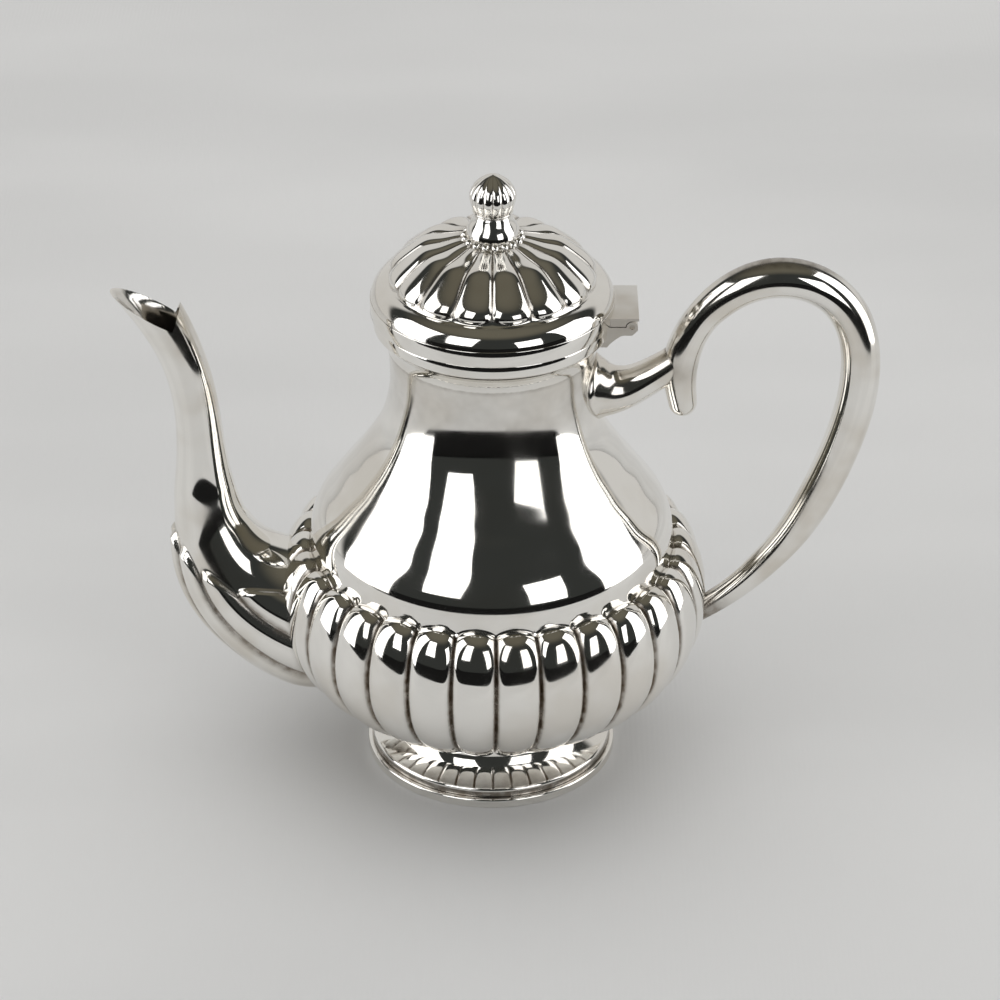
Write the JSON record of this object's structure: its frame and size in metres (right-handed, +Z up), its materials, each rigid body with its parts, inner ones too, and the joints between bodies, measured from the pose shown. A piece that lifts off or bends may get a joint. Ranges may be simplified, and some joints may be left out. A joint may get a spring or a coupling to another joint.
{
  "type": "coffee pot",
  "caption": "Pear-shaped metal coffee pot on a round foot, with a lobed belly, a swan-neck spout, a scroll handle and a domed lid that swings open on a rear hinge.",
  "frame": {"origin": "middle of the foot's underside, on the surface the pot stands on", "axes": "+Z up through the finial, -X towards the spout, +X towards the handle, Y along the hinge pin"},
  "size_m": [0.2669, 0.1543, 0.23],
  "materials": {
    "silver": "polished silver with brown tarnish in the grooves and seams",
    "cast_silver": "polished cast silver, softened edges",
    "pin_wire": "drawn wire, rubbed bright at the ends",
    "fixings": "dull plated brass inside the lid"
  },
  "bodies": {
    "pot": {"body_shell": "silver", "mouth_collar": "silver", "foot_flare": "silver", "foot_rim": "silver", "spout": "silver", "handle": "silver", "handle_socket": "silver", "hinge_body_leaf": "silver", "hinge_pin": "pin_wire"},
    "lid": {"lid_cover": "silver", "lid_band": "silver", "lid_bezel": "silver", "hinge_lid_leaf": "silver", "finial_calyx": "cast_silver", "finial_collar": "cast_silver", "finial_bud": "cast_silver", "finial_stud": "fixings", "finial_washer": "fixings", "finial_nut": "fixings"}
  },
  "joints": [
    {"name": "lid_hinge", "type": "hinge", "parent": "pot", "child": "lid", "pos_m": [0.0479, 0, 0.17815], "axis": [0, 1, 0], "range_deg": [0, 100]}
  ]
}
